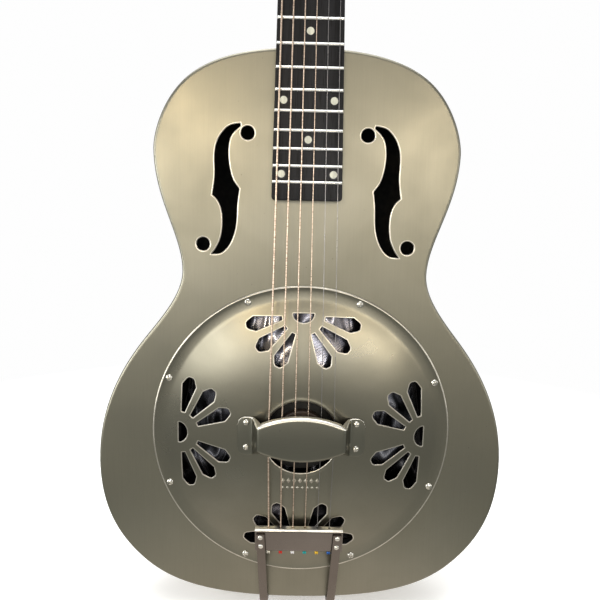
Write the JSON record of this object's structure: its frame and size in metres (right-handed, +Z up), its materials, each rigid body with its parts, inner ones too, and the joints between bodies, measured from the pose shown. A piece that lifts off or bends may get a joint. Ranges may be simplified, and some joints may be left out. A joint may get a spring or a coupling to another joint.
{
  "type": "resonator guitar",
  "caption": "Metal-bodied resonator guitar with a domed, fan-pierced coverplate, a trapeze tailpiece, and open-gear tuners that turn.",
  "frame": {"origin": "centre of the tail strap button's outer flat face", "axes": "+Z up the neck from tail to headstock, the strings face -Y, +X to the treble side"},
  "size_m": [0.3498, 0.1162, 0.9771],
  "materials": {
    "aged_nickel": "satin",
    "tailpiece_nickel": "satin",
    "bright_nickel": "polished",
    "spun_aluminium": "spun",
    "dark_maple": "satin",
    "plain_steel": "polished",
    "wound_bronze": "wound",
    "brass": "satin",
    "mahogany": "satin",
    "fretboard_wood": "satin",
    "bone": "satin",
    "black_lacquer": "gloss",
    "maple_block": "raw"
  },
  "bodies": {
    "guitar": {"biscuit": "dark_maple", "biscuit_screw": "plain_steel", "body_back": "aged_nickel", "body_rim": "aged_nickel", "body_top": "aged_nickel", "cone": "spun_aluminium", "cone_well": "aged_nickel", "cover_screw_1": "bright_nickel", "cover_screw_2": "bright_nickel", "cover_screw_3": "bright_nickel", "cover_screw_4": "bright_nickel", "cover_screw_5": "bright_nickel", "cover_screw_6": "bright_nickel", "cover_screw_7": "bright_nickel", "cover_screw_8": "bright_nickel", "coverplate": "aged_nickel", "end_block": "maple_block", "fretboard": "fretboard_wood", "handrest": "aged_nickel", "headstock_face": "black_lacquer", "heel_button": "bright_nickel", "neck": "mahogany", "neck_stick": "maple_block", "nut": "bone", "saddle": "dark_maple", "string_1": "plain_steel", "string_2": "plain_steel", "string_3": "wound_bronze", "string_4": "wound_bronze", "string_5": "wound_bronze", "string_6": "wound_bronze", "tail_anchor": "tailpiece_nickel", "tail_bracket": "tailpiece_nickel", "tail_button": "bright_nickel", "tail_hinge_pin": "plain_steel", "tail_leg_left": "tailpiece_nickel", "tail_leg_right": "tailpiece_nickel", "truss_rod": "plain_steel", "truss_rod_cover": "black_lacquer", "tuner_plate_left": "bright_nickel", "tuner_plate_right": "bright_nickel"},
    "key_1": {"tuner_key_1": "bright_nickel"},
    "post_1": {"tuner_gear_1": "brass", "tuner_post_1": "bright_nickel"},
    "key_2": {"tuner_key_2": "bright_nickel"},
    "post_2": {"tuner_gear_2": "brass", "tuner_post_2": "bright_nickel"},
    "key_3": {"tuner_key_3": "bright_nickel"},
    "post_3": {"tuner_gear_3": "brass", "tuner_post_3": "bright_nickel"},
    "key_4": {"tuner_key_4": "bright_nickel"},
    "post_4": {"tuner_gear_4": "brass", "tuner_post_4": "bright_nickel"},
    "key_5": {"tuner_key_5": "bright_nickel"},
    "post_5": {"tuner_gear_5": "brass", "tuner_post_5": "bright_nickel"},
    "key_6": {"tuner_key_6": "bright_nickel"},
    "post_6": {"tuner_gear_6": "brass", "tuner_post_6": "bright_nickel"},
    "rod_nut": {"truss_rod_nut": "brass"}
  },
  "joints": [
    {"name": "tuner_key_1_turn", "type": "hinge", "parent": "guitar", "child": "key_1", "pos_m": [0.022, -0.00567, 0.83435], "axis": [1, 0, 0], "continuous": true},
    {"name": "tuner_post_1_turn", "type": "hinge", "parent": "guitar", "child": "post_1", "pos_m": [0.022, -0.02148, 0.84781], "axis": [0, 0.9615, -0.2748], "continuous": true},
    {"name": "tuner_key_2_turn", "type": "hinge", "parent": "guitar", "child": "key_2", "pos_m": [0.022, 0.00587, 0.87473], "axis": [1, 0, 0], "continuous": true},
    {"name": "tuner_post_2_turn", "type": "hinge", "parent": "guitar", "child": "post_2", "pos_m": [0.022, -0.00994, 0.88819], "axis": [0, 0.9615, -0.2748], "continuous": true},
    {"name": "tuner_key_3_turn", "type": "hinge", "parent": "guitar", "child": "key_3", "pos_m": [0.022, 0.01741, 0.91512], "axis": [1, 0, 0], "continuous": true},
    {"name": "tuner_post_3_turn", "type": "hinge", "parent": "guitar", "child": "post_3", "pos_m": [0.022, 0.0016, 0.92858], "axis": [0, 0.9615, -0.2748], "continuous": true},
    {"name": "tuner_key_4_turn", "type": "hinge", "parent": "guitar", "child": "key_4", "pos_m": [-0.022, 0.01741, 0.91512], "axis": [1, 0, 0], "continuous": true},
    {"name": "tuner_post_4_turn", "type": "hinge", "parent": "guitar", "child": "post_4", "pos_m": [-0.022, 0.0016, 0.92858], "axis": [0, 0.9615, -0.2748], "continuous": true},
    {"name": "tuner_key_5_turn", "type": "hinge", "parent": "guitar", "child": "key_5", "pos_m": [-0.022, 0.00587, 0.87473], "axis": [1, 0, 0], "continuous": true},
    {"name": "tuner_post_5_turn", "type": "hinge", "parent": "guitar", "child": "post_5", "pos_m": [-0.022, -0.00994, 0.88819], "axis": [0, 0.9615, -0.2748], "continuous": true},
    {"name": "tuner_key_6_turn", "type": "hinge", "parent": "guitar", "child": "key_6", "pos_m": [-0.022, -0.00567, 0.83435], "axis": [1, 0, 0], "continuous": true},
    {"name": "tuner_post_6_turn", "type": "hinge", "parent": "guitar", "child": "post_6", "pos_m": [-0.022, -0.02148, 0.84781], "axis": [0, 0.9615, -0.2748], "continuous": true},
    {"name": "truss_rod_nut_turn", "type": "hinge", "parent": "guitar", "child": "rod_nut", "pos_m": [0, -0.02458, 0.82015], "axis": [0, 0.034, 0.9994], "range_deg": [-90, 90]}
  ],
  "couplings": [
    {"joint": "tuner_post_1_turn", "follows": "tuner_key_1_turn", "ratio": 0.071429},
    {"joint": "tuner_post_2_turn", "follows": "tuner_key_2_turn", "ratio": 0.071429},
    {"joint": "tuner_post_3_turn", "follows": "tuner_key_3_turn", "ratio": 0.071429},
    {"joint": "tuner_post_4_turn", "follows": "tuner_key_4_turn", "ratio": 0.071429},
    {"joint": "tuner_post_5_turn", "follows": "tuner_key_5_turn", "ratio": 0.071429},
    {"joint": "tuner_post_6_turn", "follows": "tuner_key_6_turn", "ratio": 0.071429}
  ]
}
